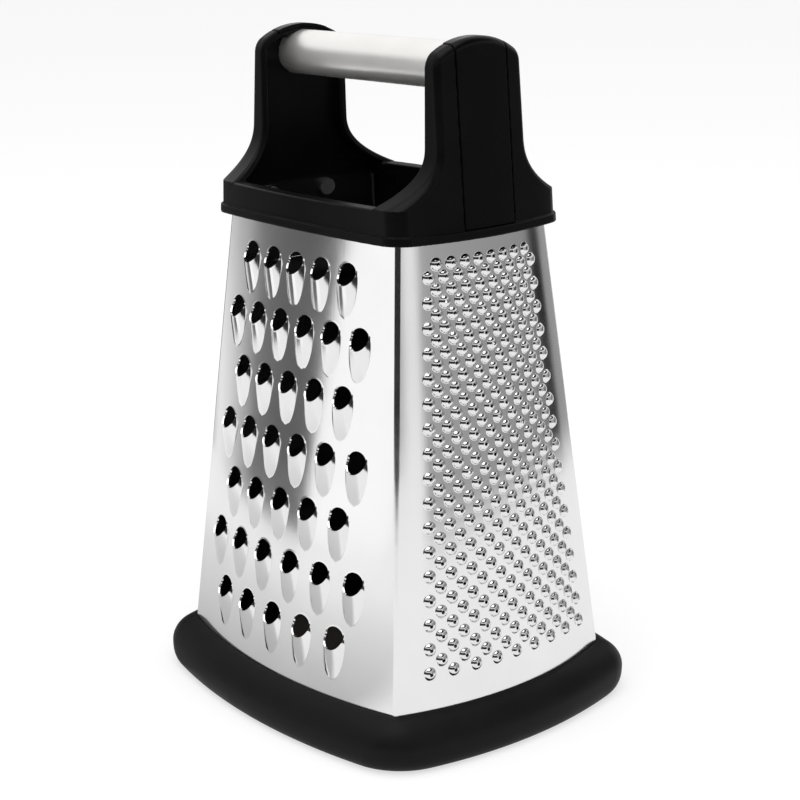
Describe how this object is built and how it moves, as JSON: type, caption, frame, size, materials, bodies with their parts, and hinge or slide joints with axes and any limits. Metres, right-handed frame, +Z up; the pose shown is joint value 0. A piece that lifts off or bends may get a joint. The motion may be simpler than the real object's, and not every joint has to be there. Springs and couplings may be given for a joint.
{
  "type": "box grater",
  "caption": "Tapered box grater with bowed steel grating sides, a soft black base ring, a black plastic collar and an upright handle with a steel tube grip",
  "frame": {"origin": "on the table under the middle of the grater", "axes": "+Z up through the handle, +X towards the zesting side, -Y towards the coarse side; the handle tube runs along X"},
  "size_m": [0.1652, 0.1408, 0.254],
  "materials": {
    "steel": "bright polished sheet steel",
    "ring": "matte soft black rubber",
    "hoop": "matte black plastic",
    "frame": "satin black plastic with a very fine grain",
    "cover": "half-gloss black plastic",
    "tube": "fine brushing along the tube",
    "plug": "matte black plastic",
    "screw": "bright zinc-plated steel"
  },
  "bodies": {
    "root": {"panel_coarse": "steel", "panel_zester": "steel", "panel_fine": "steel", "panel_slicer": "steel", "base_ring": "ring", "base_hoop": "hoop", "handle_frame": "frame", "cover_left": "cover", "cover_right": "cover", "handle_tube": "tube", "tube_plug_left": "plug", "tube_plug_right": "plug", "tube_screws": "screw", "collar_screws": "screw"}
  },
  "joints": []
}
